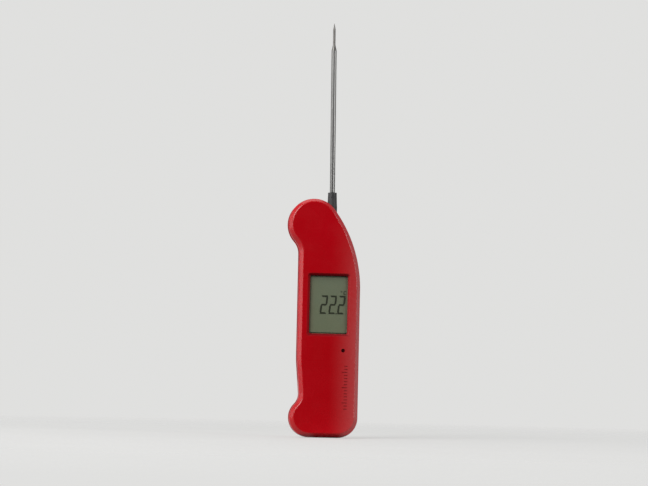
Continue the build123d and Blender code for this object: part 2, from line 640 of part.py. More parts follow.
with BuildPart() as cover_seal:
    with BuildSketch(y_face(COVER_GROOVE_Y + 0.04)):
        with Locations(OPEN_C):
            RectangleRounded(OPEN_W + 2.2, OPEN_H + 2.2, 2.3)
            RectangleRounded(OPEN_W + 0.6, OPEN_H + 0.6, 1.7, mode=Mode.SUBTRACT)
    extrude(amount=-0.58)
save(cover_seal, "cover_seal")

with BuildPart() as cover_screw:
    extrude(discs(8.43, 2.25, COVER_SCREW), amount=-0.95)
    fillet(cover_screw.edges().group_by(Axis.Y)[-1], radius=0.35)
    extrude(discs(8.6, 1.2, COVER_SCREW), amount=4.9)
    # cross recess
    with BuildSketch(y_face(HALF)):
        with Locations(COVER_SCREW):
            Rectangle(2.8, 0.7)
            Rectangle(0.7, 2.8)
    extrude(amount=0.7, mode=Mode.SUBTRACT)
save(cover_screw, "cover_screw")

with BuildPart() as cover_screw_insert:
    extrude(discs(3.3, 1.98, COVER_SCREW, hole=1.25), amount=-4.1)
save(cover_screw_insert, "cover_screw_insert")

with BuildPart() as rear_label:
    with BuildSketch(y_face(HALF - LABEL_DEPTH + 0.01)):
        with Locations(LABEL_C):
            RectangleRounded(24.8, 21.8, 1.9)
    extrude(amount=-0.2)
save(rear_label, "rear_label")

# ------------------------------------------------------------- probe sizes and planes
# lengths along the probe are measured up its axis from the pivot's level
PROBE_DX = 11.94                # probe axis offset from the pivot, at the pivot's height
PROBE_LEAN = math.radians(0.5626)       # the probe leans towards the pivot side
PROBE_R, TIP_R = 1.65, 0.80
SEAT_R = 1.45                   # the tube is drawn down where the hub and the collar hold it
SEAT_HOLE_R = SEAT_R + 0.01
TUBE_BORE_R, SEAT_BORE_R, TIP_BORE_R = 1.35, 1.15, 0.55
TUBE_0, TUBE_1, TIP_0, TIP_1, TIP_END = 3.0, 113.25, 117.15, 127.1, 131.0
COLLAR_0, COLLAR_1 = 12.0, 21.0
COLLAR_R0, COLLAR_R1 = 3.10, 2.78
MAGNET_C = polar(PIVOT, 11.2, -78)
RING_Y, RING_R, RING_WIRE_R = 5.075, 4.555, 0.44
RING_GROOVE_W, RING_GROOVE_R = 0.95, 4.08

PROBE_DIR = Vector(-math.sin(PROBE_LEAN), 0, math.cos(PROBE_LEAN))
ACROSS = (math.cos(PROBE_LEAN), 0, math.sin(PROBE_LEAN))
PROBE_ORIGIN = Vector(PIVOT_X + PROBE_DX, 0, PIVOT_Z)
PROBE_AXIS = Axis(PROBE_ORIGIN, PROBE_DIR)
# a plane holding the probe's axis: x is across the probe, y is along it
AXIAL = Plane(origin=PROBE_ORIGIN, x_dir=ACROSS, z_dir=(0, -1, 0))


def probe_point(distance, y=0):
    """Point at a distance along the probe's axis, moved by y in Y."""
    return PROBE_ORIGIN + PROBE_DIR * distance + Vector(0, y, 0)


def probe_plane(distance):
    """Plane square to the probe's axis: its x runs along X and its y along Y."""
    return Plane(origin=probe_point(distance), x_dir=ACROSS, z_dir=PROBE_DIR)


# ------------------------------------------------------------- probe assembly
with BuildPart() as probe_hub:
    extrude(discs(HUB_T / 2, HUB_R, PIVOT), amount=HUB_T)
    chamfer(probe_hub.edges().filter_by(GeomType.CIRCLE), length=0.3)
    extrude(discs(TRUNNION_Y, TRUNNION_R, PIVOT), amount=2 * TRUNNION_Y)
    # tangential boss that holds the probe tube
    with BuildSketch(probe_plane(0)):
        Circle(3.12)
    extrude(amount=COLLAR_0 - 0.02)
    # grooves for the trunnion rings
    for ring_y in (RING_Y, -RING_Y):
        extrude(discs(ring_y - RING_GROOVE_W / 2, TRUNNION_R + 0.5, PIVOT, hole=RING_GROOVE_R),
                amount=-RING_GROOVE_W, mode=Mode.SUBTRACT)
    # passage for the wires: in through the front trunnion, across and up into the tube
    extrude(discs(1.1, 2.2, PIVOT), amount=10, mode=Mode.SUBTRACT)
    with BuildSketch(Plane(origin=(PIVOT_X, 0, PIVOT_Z), x_dir=(0, 1, 0), z_dir=(1, 0, 0))):
        Circle(1.1)
    extrude(amount=PROBE_DX + 0.6, mode=Mode.SUBTRACT)
    with BuildSketch(probe_plane(-0.5)):
        Circle(0.95)
    extrude(amount=TUBE_0 + 0.6, mode=Mode.SUBTRACT)
    # seat of the tube
    with BuildSketch(probe_plane(TUBE_0)):
        Circle(SEAT_HOLE_R)
    extrude(amount=10, mode=Mode.SUBTRACT)
    # pocket for the wake magnet in the hub's front face
    extrude(discs(-HUB_T / 2 + 2.1, 1.55, MAGNET_C), amount=3, mode=Mode.SUBTRACT)
save(probe_hub, "probe_hub")

with BuildPart() as probe_collar:
    with BuildSketch(AXIAL):
        with BuildLine():
            Polyline((SEAT_HOLE_R, COLLAR_0), (COLLAR_R0, COLLAR_0),
                     (COLLAR_R1, COLLAR_1), (SEAT_HOLE_R, COLLAR_1), close=True)
        make_face()
    revolve(axis=PROBE_AXIS)
    top_circles = probe_collar.edges().filter_by(GeomType.CIRCLE).group_by(Axis.Z)[-1]
    fillet(top_circles.sort_by(SortBy.LENGTH)[-1], radius=0.55)
    # two small moulding dimples on the front
    with BuildSketch(AXIAL.offset(2.45)):
        with Locations((0.0, 19.2), (-0.5, 17.9)):
            Circle(0.3)
    extrude(amount=1.5, mode=Mode.SUBTRACT)
save(probe_collar, "probe_collar")

# half section of the tube: radius, distance along the axis
TUBE_PROFILE = [
    # outside, from the seat to the point
    (SEAT_BORE_R, TUBE_0 + 0.02), (SEAT_R, TUBE_0 + 0.02), (SEAT_R, COLLAR_1 + 0.03),
    (PROBE_R, COLLAR_1 + 0.2), (PROBE_R, TUBE_1), (TIP_R, TIP_0), (TIP_R, TIP_1),
    (0.16, TIP_END - 0.12), (0.0, TIP_END),
    # bore, from the tip back to the seat
    (0.0, TIP_1 + 0.6), (TIP_BORE_R, TIP_1 + 0.1), (TIP_BORE_R, TIP_0), (TUBE_BORE_R, TUBE_1),
    (TUBE_BORE_R, COLLAR_1 + 0.4), (SEAT_BORE_R, COLLAR_1 + 0.2),
]

with BuildPart() as probe_tube:
    with BuildSketch(AXIAL):
        with BuildLine():
            Polyline(*TUBE_PROFILE, close=True)
        make_face()
    revolve(axis=PROBE_AXIS)
save(probe_tube, "probe_tube")

WIRE_R, WIRE_HOLE_R, WIRE_BEND_R = 0.2, 0.26, 0.6
WIRE_Y, WIRE_TIP_Y, WIRE_RISE = 0.5, 0.25, 0.55     # half spacings of the two wires

with BuildPart() as probe_insulator:
    with BuildSketch(probe_plane(TUBE_0 + 1.5)):
        Circle(SEAT_BORE_R - 0.05)
        with Locations((0, WIRE_Y), (0, -WIRE_Y)):
            Circle(WIRE_HOLE_R, mode=Mode.SUBTRACT)
    extrude(amount=TUBE_1 - TUBE_0 - 2.0)
save(probe_insulator, "probe_insulator")

with BuildPart() as thermocouple_wires:
    for sign in (1, -1):
        wire_z = PIVOT_Z + WIRE_RISE * sign
        wire_points = [
            Vector(PIVOT_X, -6.1, wire_z),
            Vector(PIVOT_X, WIRE_Y * sign, wire_z),
            Vector(PIVOT_X + PROBE_DX, WIRE_Y * sign, wire_z),
            probe_point(TUBE_1 - 0.6, WIRE_Y * sign),
            probe_point(TIP_0 + 0.4, WIRE_TIP_Y * sign),
            probe_point(TIP_1 - 0.9, WIRE_TIP_Y * sign),
        ]
        with BuildLine() as path:
            FilletPolyline(*wire_points, radius=WIRE_BEND_R)
        with BuildSketch(Plane(origin=wire_points[0], x_dir=(1, 0, 0), z_dir=(0, 1, 0))):
            Circle(WIRE_R)
        sweep(path=path.line)
save(thermocouple_wires, "thermocouple_wires")

JUNCTION_R = 0.44
JUNCTION_MID = TIP_1 - 0.41

with BuildPart() as thermocouple_junction:
    with BuildSketch(AXIAL):
        with BuildLine():
            bottom, top = (0, JUNCTION_MID - JUNCTION_R), (0, JUNCTION_MID + JUNCTION_R)
            ThreePointArc(bottom, (JUNCTION_R, JUNCTION_MID), top)
            Line(top, bottom)
        make_face()
    revolve(axis=PROBE_AXIS)
save(thermocouple_junction, "thermocouple_junction")

with BuildPart() as wake_magnet:
    extrude(discs(-HUB_T / 2 + 0.15, 1.5, MAGNET_C), amount=-1.9)
save(wake_magnet, "wake_magnet")

with BuildPart() as trunnion_rings:
    for ring_y in (RING_Y, -RING_Y):
        ring_origin = (PIVOT_X, ring_y, PIVOT_Z)
        with BuildSketch(Plane(origin=ring_origin, x_dir=(1, 0, 0), z_dir=(0, 0, 1))):
            with Locations((RING_R, 0)):
                Circle(RING_WIRE_R)
        revolve(axis=Axis((PIVOT_X, 0, PIVOT_Z), (0, 1, 0)))
save(trunnion_rings, "trunnion_rings")

WASHER_T, WASHER_GAP = 0.18, 0.01

with BuildPart() as thrust_washers:
    for washer_y in (HUB_T / 2 + WASHER_GAP, -HUB_T / 2 - WASHER_GAP - WASHER_T):
        extrude(discs(washer_y, 7.4, PIVOT, hole=5.2), amount=-WASHER_T)
save(thrust_washers, "thrust_washers")
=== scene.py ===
"""A red probe thermometer with a reflective display, on a pale studio floor.

It stands along +Z: the battery is at the bottom, the display above it and the steel probe
points up. The front faces -Y and +X is to the right seen from the front. Units are metres,
except for the display figures, which are drawn in millimetres.
"""
import json
import math
import random

import bmesh
import bpy
from mathutils import Matrix, Vector


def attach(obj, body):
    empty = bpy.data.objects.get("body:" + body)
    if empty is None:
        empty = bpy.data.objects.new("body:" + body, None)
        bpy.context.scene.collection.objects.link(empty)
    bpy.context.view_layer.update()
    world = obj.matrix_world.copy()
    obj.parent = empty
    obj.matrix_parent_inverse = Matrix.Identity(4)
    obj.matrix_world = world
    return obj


MM = 0.001
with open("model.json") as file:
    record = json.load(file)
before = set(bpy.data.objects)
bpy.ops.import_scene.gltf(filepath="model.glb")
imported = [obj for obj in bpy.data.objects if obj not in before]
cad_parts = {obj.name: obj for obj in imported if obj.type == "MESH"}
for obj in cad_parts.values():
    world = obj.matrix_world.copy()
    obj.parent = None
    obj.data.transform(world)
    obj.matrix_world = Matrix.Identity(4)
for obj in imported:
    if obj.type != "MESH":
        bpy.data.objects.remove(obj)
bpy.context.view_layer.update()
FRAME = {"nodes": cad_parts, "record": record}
SCENE = bpy.context.scene
random.seed(11)

UNIT = (0, 1)

# display opening in the front of the case
OPENING_X = -0.00055
OPENING_Z = 0.085
OPENING_HALF_WIDTH = 0.01400
OPENING_HALF_HEIGHT = 0.02045
OPENING_FADE = 0.00015

LABEL_Z = 0.094


# ------------------------------------------------------------------ shader graphs

def rgb(red, green, blue):
    return (red, green, blue, 1.0)


def grey(value):
    return rgb(value, value, value)


def scaled(color, factor):
    return rgb(*(min(1.0, channel * factor) for channel in color))


class Graph:
    """Builds the node tree of a material or world. Methods return output sockets."""

    def __init__(self, block, output_kind="ShaderNodeOutputMaterial"):
        self.block = block
        block.use_nodes = True
        self.tree = block.node_tree
        self.tree.nodes.clear()
        self.output = self.tree.nodes.new(output_kind)
        self.coords = self.outputs("TexCoord")

    def outputs(self, kind):
        return self.tree.nodes.new("ShaderNode" + kind).outputs

    def node(self, kind, output, inputs=None, **props):
        """Adds a node; an input is a value, a socket to link, or None to leave it alone."""
        node = self.tree.nodes.new("ShaderNode" + kind)
        for key, value in props.items():
            setattr(node, key, value)
        for key, value in (inputs or {}).items():
            if isinstance(value, bpy.types.NodeSocket):
                self.tree.links.new(value, node.inputs[key])
            elif value is not None:
                node.inputs[key].default_value = value
        return node.outputs[output]

    def mapping(self, scale, turn=(0, 0, 0)):
        return self.node("Mapping", "Vector", {
            "Vector": self.coords["Object"], "Scale": scale, "Rotation": turn})

    def noise(self, scale, detail=3.0, rough=0.5, vector=None, distortion=0.0):
        return self.node("TexNoise", "Fac", {
            "Scale": scale, "Detail": detail, "Roughness": rough, "Distortion": distortion,
            "Vector": vector or self.coords["Object"]})

    def span(self, value, over=(0.3, 0.7), to=UNIT):
        """Maps one range to another, clamped. By default it spreads a noise to 0..1."""
        return self.node("MapRange", "Result", {
            "Value": value, "From Min": over[0], "From Max": over[1],
            "To Min": to[0], "To Max": to[1]})

    def band(self, value, start, end, fade):
        """1 between start and end, fading to 0 just inside both."""
        return self.times(self.span(value, over=(start, start + fade)),
                          self.span(value, over=(end, end - fade)))

    def math(self, operation, first, second=0.0, third=None):
        return self.node("Math", 0, {0: first, 1: second, 2: third}, operation=operation)

    def chain(self, operation, total, *others):
        for other in others:
            total = self.math(operation, total, other)
        return total

    def add(self, *values):
        return self.chain("ADD", *values)

    def times(self, *values):
        return self.chain("MULTIPLY", *values)

    def mix(self, amount, under, over):
        return self.node("Mix", "Result", {"Factor": amount, "A": under, "B": over},
                         data_type="RGBA")

    def bump(self, height, strength, distance, normal=None):
        return self.node("Bump", "Normal", {
            "Strength": strength, "Distance": distance, "Height": height, "Normal": normal})

    def axis(self, letter, vector=None):
        return self.node("SeparateXYZ", letter, {0: vector or self.coords["Object"]})

    def principled(self, **inputs):
        """Input names are written with underscores for spaces."""
        return self.node("BsdfPrincipled", "BSDF", {
            key.replace("_", " "): value for key, value in inputs.items()})

    def mix_shader(self, amount, first, second):
        return self.node("MixShader", 0, {0: amount, 1: first, 2: second})

    def finish(self, shader):
        self.tree.links.new(shader, self.output.inputs["Surface"])
        return self.block

    def shade(self, **inputs):
        return self.finish(self.principled(**inputs))


def material(name):
    return Graph(bpy.data.materials.new(name))


# ------------------------------------------------------------------ materials

def worn_edges(mat):
    """Mask of patchy wear: the bevelled normal leaves the flat one only near an edge."""
    normal = mat.outputs("NewGeometry")["Normal"]
    bevel = mat.node("Bevel", "Normal", {"Radius": 0.00035}, samples=4)
    agreement = mat.node("VectorMath", "Value", {0: normal, 1: bevel}, operation="DOT_PRODUCT")
    patches = mat.noise(scale=900, detail=4, rough=0.6)
    return mat.times(mat.span(agreement, over=(0.995, 0.90)),
                     mat.span(patches, over=(0.45, 0.70)))


def opening_border(mat, x, y, z):
    """Mask of the sloped border of the display opening."""
    across = mat.math("ABSOLUTE", mat.add(x, -OPENING_X))
    upward = mat.math("ABSOLUTE", mat.math("SUBTRACT", z, OPENING_Z))
    width, height = OPENING_HALF_WIDTH, OPENING_HALF_HEIGHT
    return mat.times(mat.span(across, over=(width, width - OPENING_FADE)),
                     mat.span(upward, over=(height, height - OPENING_FADE)),
                     mat.span(y, over=(-0.0060, -0.0070)))


def painted_border_shade(mat, border, y, z):
    """Painted shade in the border: darker deeper in, and extra along the top and bottom."""
    all_round = mat.times(border, mat.span(y, over=(-0.00948, -0.00830), to=(0.16, 0.52)))
    top = mat.times(border, mat.span(z, over=(0.1034, 0.1038), to=(0, 0.40)))
    bottom = mat.times(border, mat.span(z, over=(0.0664, 0.0660), to=(0, 0.35)))
    total = mat.add(all_round,
                    mat.times(top, mat.span(y, over=(-0.00948, -0.0088))),
                    mat.times(bottom, mat.span(y, over=(-0.00950, -0.0094))))
    return mat.math("MINIMUM", total, 0.9)


def red_plastic(name, hue=1.0):
    """Glossy moulded red with specks, a painted sheen at the lower right of the front, worn
    edges, grime and painted shade in the hollows, painted shade in the display border, and
    hairlines.
    """
    mat = material(name)
    x, y, z = mat.axis("X"), mat.axis("Y"), mat.axis("Z")
    broad = mat.noise(scale=26, detail=2)
    fine = mat.noise(scale=5200, detail=2, rough=0.6)
    mottle = mat.noise(scale=420, rough=0.55)
    color = mat.mix(mat.span(broad, over=(0.35, 0.65)),
                    rgb(0.500 * hue, 0.0003, 0.0045), rgb(0.535 * hue, 0.0006, 0.0065))
    color = mat.mix(mat.span(mottle, over=(0.45, 0.8), to=(0, 0.22)),
                    color, rgb(0.45 * hue, 0.0003, 0.0040))
    color = mat.mix(mat.span(fine, over=(0.62, 0.80), to=(0, 0.10)),
                    color, rgb(0.60, 0.020, 0.025))
    # painted sheen: a pale pinkish haze standing in for a soft reflection, strongest at the
    # lower right of the front
    painted_sheen = mat.times(mat.math("POWER", mat.span(x, over=(0, 0.0185)), 1.7),
                     mat.span(z, over=(0.138, 0.062), to=(0.35, 1)),
                     mat.span(mottle, over=(0.25, 0.75), to=(0.80, 1.15)),
                     mat.span(y, over=(-0.0045, -0.0088), to=(0.06, 1)))
    color = mat.mix(painted_sheen, color, rgb(0.585, 0.075, 0.077))
    color = mat.mix(mat.times(worn_edges(mat), 0.35), color, rgb(0.62, 0.10, 0.10))
    # grime and painted shade in the hollows, darker where the occlusion is strong
    openness = mat.node("AmbientOcclusion", "AO", {"Distance": 0.0026}, samples=6)
    color = mat.mix(mat.span(openness, over=(0.45, 0.93), to=(0.75, 0)),
                    color, rgb(0.11 * hue, 0.0010, 0.0040))
    border = opening_border(mat, x, y, z)
    # painted shade in the sloped border of the display opening
    color = mat.mix(painted_border_shade(mat, border, y, z), color, rgb(0.10 * hue, 0.0010, 0.0040))
    smudges = mat.noise(scale=95, detail=5, rough=0.6, distortion=0.6)
    hairlines = mat.noise(scale=60, detail=2, vector=mat.mapping((1, 1, 26), turn=(0, 0.5, 0)))
    rough = mat.add(mat.span(smudges, over=(0.3, 0.72), to=(0.23, 0.31)),
                    mat.span(fine, to=(-0.03, 0.03)),
                    mat.span(hairlines, over=(0.66, 0.72), to=(0, 0.04)),
                    mat.times(border, 0.35))
    grain = mat.bump(fine, strength=0.08, distance=0.00004)
    normal = mat.bump(mat.noise(scale=420, detail=2), strength=0.03, distance=0.00012,
                      normal=grain)
    return mat.shade(Base_Color=color, Roughness=rough, Normal=normal, IOR=1.49,
                     Specular_IOR_Level=mat.span(border, over=UNIT, to=(0.5, 0.12)),
                     Coat_Weight=mat.span(border, over=UNIT, to=(0.10, 0)),
                     Coat_Roughness=0.16)


def black_plastic(name, dark, light, rough, scuff):
    """Grained black with pale streaks along Z, as strong as scuff."""
    mat = material(name)
    fine = mat.noise(scale=6500, detail=2, rough=0.6)
    broad = mat.noise(scale=180, detail=4, rough=0.6)
    streaks = mat.noise(scale=150, rough=0.6, vector=mat.mapping((1, 1, 0.12)))
    color = mat.mix(mat.span(broad), rgb(dark, dark, dark * 1.03),
                    rgb(light, light, light * 1.02))
    color = mat.mix(mat.span(streaks, over=(0.60, 0.78), to=(0, scuff)), color, grey(0.24))
    patches = mat.noise(scale=260, detail=4, rough=0.6)
    normal = mat.bump(fine, strength=0.22, distance=0.00006)
    normal = mat.bump(mat.noise(scale=900, detail=2), strength=0.10, distance=0.00012,
                      normal=normal)
    return mat.shade(Base_Color=color, Normal=normal, IOR=1.5,
                     Roughness=mat.add(mat.span(patches, to=(rough - 0.07, rough + 0.07)),
                                       mat.span(fine, to=(-0.05, 0.05))))


def drawn_steel(name):
    """Steel with fine lines along Z, faint marks, painted dark rims towards grazing view and a
    ground end at the top.
    """
    mat = material(name)
    base = (0.31, 0.307, 0.30)
    lines = mat.noise(scale=3600, detail=2, vector=mat.mapping((1, 1, 0.003)))
    stains = mat.noise(scale=30, detail=2)
    prints = mat.noise(scale=110, detail=2)
    color = mat.mix(mat.span(lines), scaled(base, 0.985), scaled(base, 1.015))
    color = mat.mix(mat.span(stains, over=(0.50, 0.75), to=(0, 0.16)),
                    color, rgb(0.28, 0.265, 0.24))
    ground = mat.span(mat.axis("Z"), over=(0.2492, 0.2502))
    color = mat.mix(mat.times(ground, 0.55), color, rgb(0.17, 0.158, 0.142))
    rough = mat.add(mat.span(lines, to=(0.272, 0.288)),
                    mat.span(prints, over=(0.45, 0.75), to=(0, 0.03)),
                    mat.times(ground, 0.16))
    # painted shade: the steel is darkened towards grazing view, giving it dark rims
    painted_rim_shade = mat.math("POWER", mat.node("LayerWeight", "Facing", {"Blend": 0.62}), 1.3)
    color = mat.mix(mat.times(painted_rim_shade, 0.95), color, grey(0.035))
    return mat.shade(Base_Color=color, Roughness=rough, Metallic=0.76, Specular_IOR_Level=0.3,
                     Normal=mat.bump(lines, strength=0.006, distance=0.000004))


def metal(name, base, rough):
    """Plain metal with fine grain and darker, duller spots."""
    mat = material(name)
    grain = mat.noise(scale=1400, detail=4, rough=0.6)
    spots = mat.noise(scale=300, detail=4, rough=0.6, distortion=0.4)
    color = mat.mix(mat.span(grain), scaled(base, 0.88), scaled(base, 1.08))
    color = mat.mix(mat.span(spots, over=(0.55, 0.8), to=(0, 0.25)), color, scaled(base, 0.6))
    return mat.shade(Base_Color=color, Metallic=0.8,
                     Roughness=mat.add(mat.span(grain, to=(rough - 0.05, rough + 0.06)),
                                       mat.span(spots, over=(0.5, 0.8), to=(0, 0.14))),
                     Normal=mat.bump(grain, strength=0.12, distance=0.00003))


def rubber(name, tone=0.018, rough=0.7):
    """Matt rubber or tape with specks of dust."""
    mat = material(name)
    fine = mat.noise(scale=4200, rough=0.6)
    dust = mat.noise(scale=700, detail=5, rough=0.7)
    color = mat.mix(mat.span(fine), rgb(tone * 0.8, tone * 0.8, tone * 0.82), grey(tone * 1.3))
    color = mat.mix(mat.span(dust, over=(0.62, 0.80), to=(0, 0.18)),
                    color, rgb(0.22, 0.21, 0.20))
    return mat.shade(Base_Color=color, Roughness=mat.span(dust, to=(rough - 0.1, rough + 0.1)),
                     Normal=mat.bump(fine, strength=0.2, distance=0.00005))


def moulded(name, base, rough, grain=3000):
    """Plain moulded plastic or ceramic with fine grain."""
    mat = material(name)
    fine = mat.noise(scale=grain, rough=0.6)
    broad = mat.noise(scale=160, detail=4, rough=0.6)
    color = mat.mix(mat.span(broad), scaled(base, 0.9), scaled(base, 1.06))
    color = mat.mix(mat.span(fine, over=(0.6, 0.8), to=(0, 0.2)), color, scaled(base, 0.7))
    return mat.shade(Base_Color=color,
                     Roughness=mat.span(fine, to=(rough - 0.06, rough + 0.08)),
                     Normal=mat.bump(fine, strength=0.12, distance=0.00005))


def display_cell(name):
    """Grey-green reflective display with fine grain, a painted red reflection at the sides and
    a painted shadow along the top.
    """
    mat = material(name)
    x, z = mat.axis("X"), mat.axis("Z")
    grain = mat.noise(scale=7000, detail=2)
    cloud = mat.noise(scale=170, rough=0.55, distortion=0.4)
    color = mat.mix(mat.span(z, over=(0.066, 0.104)),
                    rgb(0.236, 0.262, 0.172), rgb(0.236, 0.270, 0.190))
    from_middle = mat.math("ABSOLUTE", mat.add(x, -OPENING_X))
    # amount of each colour laid over the base
    layers = (
        # painted reflection of the red border: warmer towards the left and right edges
        (from_middle, (0.0085, 0.0122), 0.85, rgb(0.240, 0.212, 0.150)),
        (cloud, (0.35, 0.7), 0.30, rgb(0.262, 0.266, 0.176)),
        (grain, (0.45, 0.75), 0.18, rgb(0.180, 0.196, 0.140)),
        # the recess's shadow along the top
        (z, (0.0985, 0.1032), 0.30, rgb(0.110, 0.114, 0.084)),
        (z, (0.1018, 0.1036), 0.50, rgb(0.060, 0.042, 0.032)),
    )
    for value, over, amount, layer_color in layers:
        color = mat.mix(mat.span(value, over=over, to=(0, amount)), color, layer_color)
    wave = mat.node("TexWave", "Fac", {"Scale": 1500, "Vector": mat.coords["Object"]},
                    bands_direction="X")
    return mat.shade(Base_Color=color, Roughness=mat.span(grain, to=(0.34, 0.46)),
                     Normal=mat.bump(wave, strength=0.03, distance=0.00002),
                     Specular_IOR_Level=0.25)


def display_ink(name):
    """Dark lit segments of the display."""
    mat = material(name)
    grain = mat.noise(scale=6000, detail=2)
    color = mat.mix(mat.span(grain), rgb(0.044, 0.049, 0.033), rgb(0.062, 0.066, 0.045))
    return mat.shade(Base_Color=color, Roughness=mat.span(grain, to=(0.40, 0.5)),
                     Specular_IOR_Level=0.2)


def clear_pane(name):
    """Clear pane: see-through, with a mirror share that grows towards grazing view."""
    mat = material(name)
    smear = mat.noise(scale=140, detail=4, rough=0.6, distortion=0.8)
    hairlines = mat.noise(scale=70, detail=2, vector=mat.mapping((18, 1, 1), turn=(0, 0.9, 0)))
    tint = mat.mix(mat.span(smear, over=(0.4, 0.8)),
                   rgb(0.985, 0.990, 0.980), rgb(0.965, 0.975, 0.960))
    through = mat.node("BsdfTransparent", 0, {"Color": tint})
    mirror = mat.node("BsdfGlossy", 0, {
        "Color": grey(1),
        "Roughness": mat.add(mat.span(smear, to=(0.05, 0.13)),
                             mat.span(hairlines, over=(0.68, 0.74), to=(0, 0.05))),
        "Normal": mat.bump(mat.noise(scale=260, detail=2), strength=0.03, distance=0.0001)})
    # the pane doesn't bend light here, so both of its faces mirror like the outer one
    index = mat.span(mat.outputs("NewGeometry")["Backfacing"], over=UNIT, to=(1.49, 1 / 1.49))
    fresnel = mat.node("Fresnel", 0, {"IOR": index})
    return mat.finish(mat.mix_shader(fresnel, through, mirror))


def circuit_board(name):
    """Green solder mask with copper tracks under it and tinned vias."""
    mat = material(name)
    flat = mat.node("CombineXYZ", 0, {0: mat.axis("X"), 1: mat.axis("Z")})
    bricks = mat.node("TexBrick", "Fac", {
        "Scale": 260, "Mortar Size": 0.06, "Brick Width": 1.4, "Row Height": 0.5,
        "Vector": flat})
    tracks = mat.times(bricks, mat.span(mat.noise(scale=90, detail=1), over=(0.46, 0.50)))
    mask = mat.mix(mat.noise(scale=60), rgb(0.010, 0.085, 0.030), rgb(0.016, 0.115, 0.042))
    color = mat.mix(tracks, mask, rgb(0.035, 0.21, 0.075))
    dots = mat.node("TexVoronoi", "Distance", {"Scale": 420, "Vector": flat})
    vias = mat.times(mat.span(dots, over=(0.14, 0.10)),
                     mat.span(mat.noise(scale=120, detail=1), over=(0.50, 0.54)))
    color = mat.mix(vias, color, rgb(0.62, 0.60, 0.55))
    return mat.shade(Base_Color=color, Metallic=mat.times(vias, 0.8),
                     Roughness=mat.span(mat.noise(scale=900, rough=0.6), to=(0.28, 0.42)),
                     Normal=mat.bump(mat.add(tracks, vias), strength=0.25, distance=0.00004))


def battery_jacket(name):
    """Dark wrap with a plain light band and bare steel at both ends."""
    mat = material(name)
    z = mat.axis("Z")
    fine = mat.noise(scale=3000, detail=2, rough=0.6)
    wear = mat.noise(scale=420, detail=5, rough=0.65)
    color = mat.mix(mat.span(fine), rgb(0.030, 0.060, 0.095), rgb(0.042, 0.078, 0.120))
    light_band = mat.band(z, start=0.0435, end=0.0515, fade=0.0002)
    color = mat.mix(light_band, color, rgb(0.60, 0.60, 0.58))
    ends = mat.math("MAXIMUM", mat.span(z, over=(0.0137, 0.0135)),
                    mat.span(z, over=(0.0553, 0.0555)))
    color = mat.mix(ends, color, rgb(0.62, 0.61, 0.59))
    color = mat.mix(mat.span(wear, over=(0.66, 0.76), to=(0, 0.25)),
                    color, rgb(0.30, 0.31, 0.32))
    return mat.shade(Base_Color=color, Roughness=mat.span(wear, to=(0.22, 0.36)),
                     Metallic=mat.span(ends, over=UNIT, to=(0.25, 1)),
                     Normal=mat.bump(fine, strength=0.05, distance=0.00003))


def foil_label(name):
    """Blank foil label: brushed lines along X, a thin dark border, slight scuffs."""
    mat = material(name)
    x, z = mat.axis("X"), mat.axis("Z")
    lines = mat.noise(scale=5200, rough=0.6, vector=mat.mapping((0.02, 1, 1)))
    scuffs = mat.noise(scale=300, detail=5, rough=0.7)
    color = mat.mix(mat.span(lines), rgb(0.50, 0.50, 0.51), rgb(0.66, 0.66, 0.67))
    across = mat.math("ABSOLUTE", x)
    upward = mat.math("ABSOLUTE", mat.math("SUBTRACT", z, LABEL_Z))
    upright = mat.band(across, start=0.01145, end=0.01180, fade=0.00005)
    level = mat.band(upward, start=0.00995, end=0.01030, fade=0.00005)
    border = mat.math("MAXIMUM",
                      mat.times(upright, mat.span(upward, over=(0.0103, 0.01028))),
                      mat.times(level, mat.span(across, over=(0.0118, 0.01178))))
    color = mat.mix(mat.times(border, 0.8), color, rgb(0.10, 0.10, 0.11))
    return mat.shade(Base_Color=color, Metallic=0.35,
                     Roughness=mat.add(mat.span(lines, to=(0.30, 0.40)),
                                       mat.span(scuffs, over=(0.55, 0.8), to=(0, 0.2))),
                     Normal=mat.bump(lines, strength=0.08, distance=0.00002))


# material slot: its builder and settings
SLOT_LOOKS = {
    "case_red": (red_plastic, {}),
    "cover_red": (red_plastic, dict(hue=0.97)),
    "hub_black": (black_plastic, dict(dark=0.012, light=0.022, rough=0.46, scuff=0.06)),
    "collar_black": (black_plastic, dict(dark=0.034, light=0.050, rough=0.52, scuff=0.12)),
    "seal_rubber": (rubber, {}),
    "screw_steel": (metal, dict(base=(0.56, 0.56, 0.57), rough=0.30)),
    "insert_brass": (metal, dict(base=(0.78, 0.58, 0.26), rough=0.26)),
    "window_clear": (clear_pane, {}),
    "tape_black": (rubber, dict(tone=0.012, rough=0.75)),
    "lcd_glass": (display_cell, {}),
    "diffuser_white": (moulded, dict(base=(0.80, 0.82, 0.78), rough=0.3)),
    "carrier_white": (moulded, dict(base=(0.72, 0.72, 0.70), rough=0.45)),
    "contact_strip": (rubber, dict(tone=0.30, rough=0.6)),
    "board_green": (circuit_board, {}),
    "chip_black": (moulded, dict(base=(0.020, 0.020, 0.022), rough=0.42)),
    "passive_tan": (moulded, dict(base=(0.42, 0.31, 0.20), rough=0.35)),
    "lens_dark": (moulded, dict(base=(0.055, 0.0025, 0.004), rough=0.14, grain=900)),
    "wire_sleeve": (moulded, dict(base=(0.70, 0.12, 0.08), rough=0.4)),
    "connector_white": (moulded, dict(base=(0.76, 0.75, 0.70), rough=0.4)),
    "switch_black": (moulded, dict(base=(0.030, 0.030, 0.032), rough=0.4)),
    "cell_jacket": (battery_jacket, {}),
    "contact_nickel": (metal, dict(base=(0.70, 0.68, 0.63), rough=0.20)),
    "probe_steel": (drawn_steel, {}),
    "insulator_white": (moulded, dict(base=(0.82, 0.82, 0.80), rough=0.35)),
    "thermo_alloy": (metal, dict(base=(0.55, 0.52, 0.47), rough=0.3)),
    "label_silver": (foil_label, {}),
}


